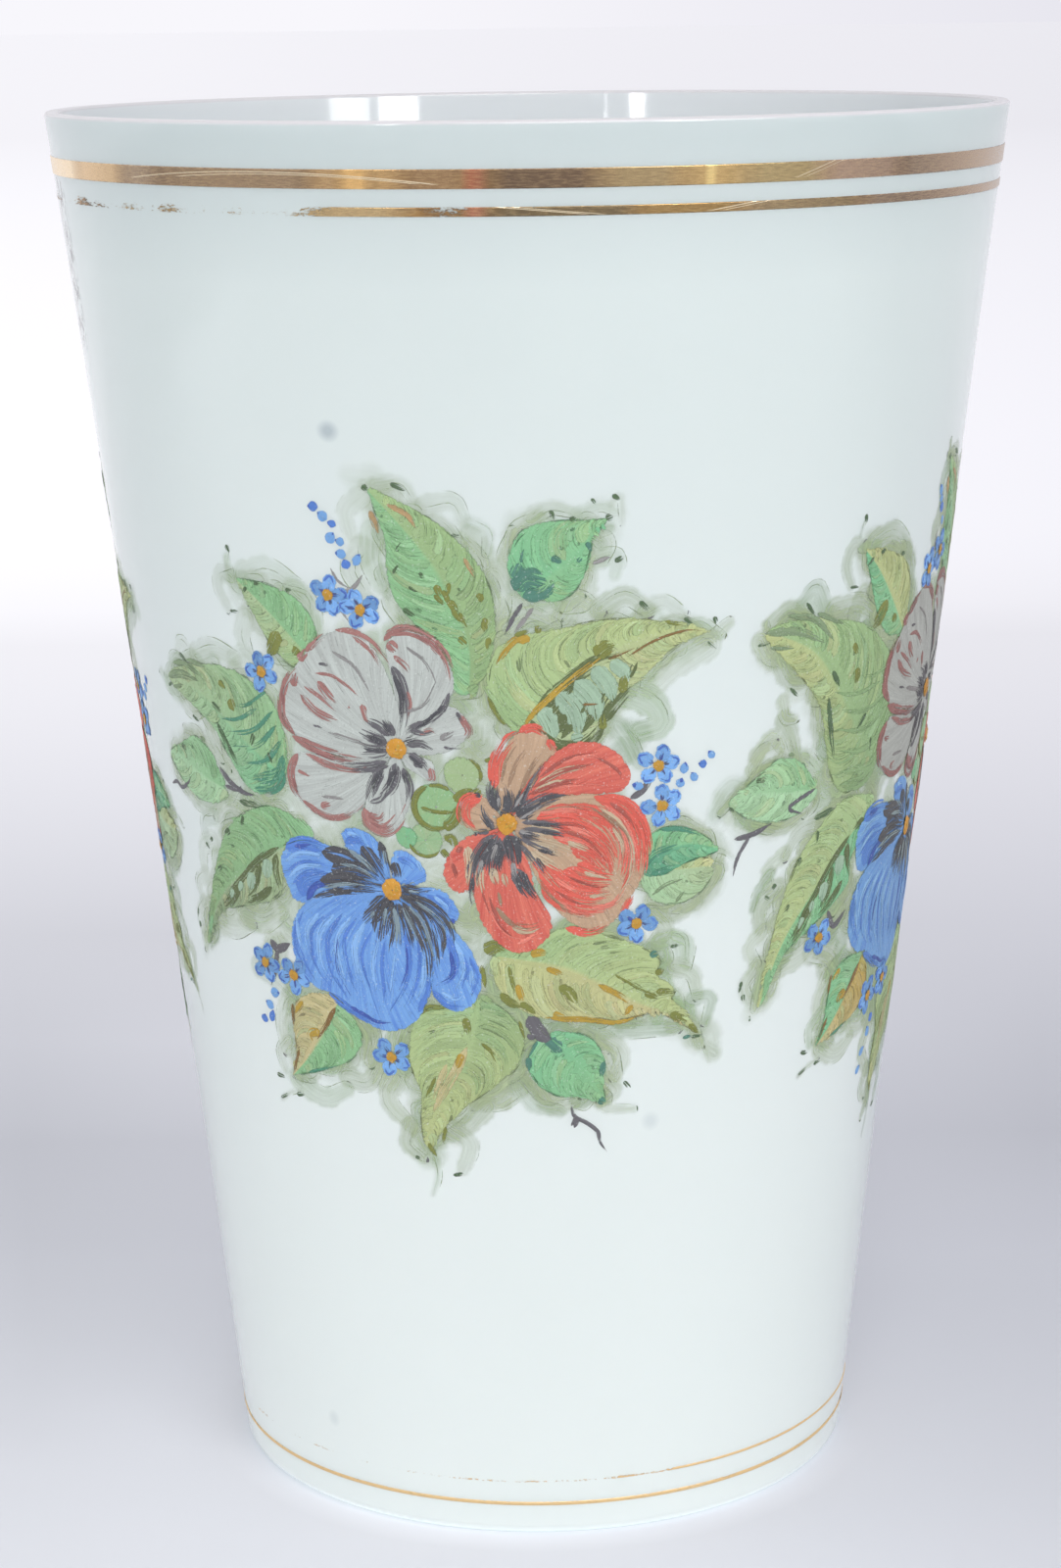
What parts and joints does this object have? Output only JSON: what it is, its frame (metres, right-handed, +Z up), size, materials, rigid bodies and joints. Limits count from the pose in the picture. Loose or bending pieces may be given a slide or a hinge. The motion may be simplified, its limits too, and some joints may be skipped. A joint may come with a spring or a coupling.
{
  "type": "vase",
  "caption": "Tapering opaline glass vase, open at the top, with a flat foot, gilded bands near rim and foot and raised enamel bouquets round its side.",
  "frame": {"origin": "centre of the foot, on the surface the vase stands on", "axes": "+Z up along the axis of the vase, -Y towards the front"},
  "size_m": [0.2062, 0.2062, 0.3],
  "materials": {
    "opaline_glass": "glossy",
    "gilding": "polished, worn",
    "foliage_enamel": "satin",
    "mauve_enamel": "satin",
    "red_enamel": "satin",
    "blue_enamel": "satin"
  },
  "bodies": {
    "root": {"glass_body": "opaline_glass", "rim_gilt_wide": "gilding", "rim_gilt_narrow": "gilding", "foot_gilt_upper": "gilding", "foot_gilt_lower": "gilding", "front_foliage": "foliage_enamel", "front_mauve_flower": "mauve_enamel", "front_red_flower": "red_enamel", "front_blue_flower": "blue_enamel", "right_foliage": "foliage_enamel", "right_mauve_flower": "mauve_enamel", "right_red_flower": "red_enamel", "right_blue_flower": "blue_enamel", "back_foliage": "foliage_enamel", "back_mauve_flower": "mauve_enamel", "back_red_flower": "red_enamel", "back_blue_flower": "blue_enamel", "left_foliage": "foliage_enamel", "left_mauve_flower": "mauve_enamel", "left_red_flower": "red_enamel", "left_blue_flower": "blue_enamel"}
  },
  "joints": []
}
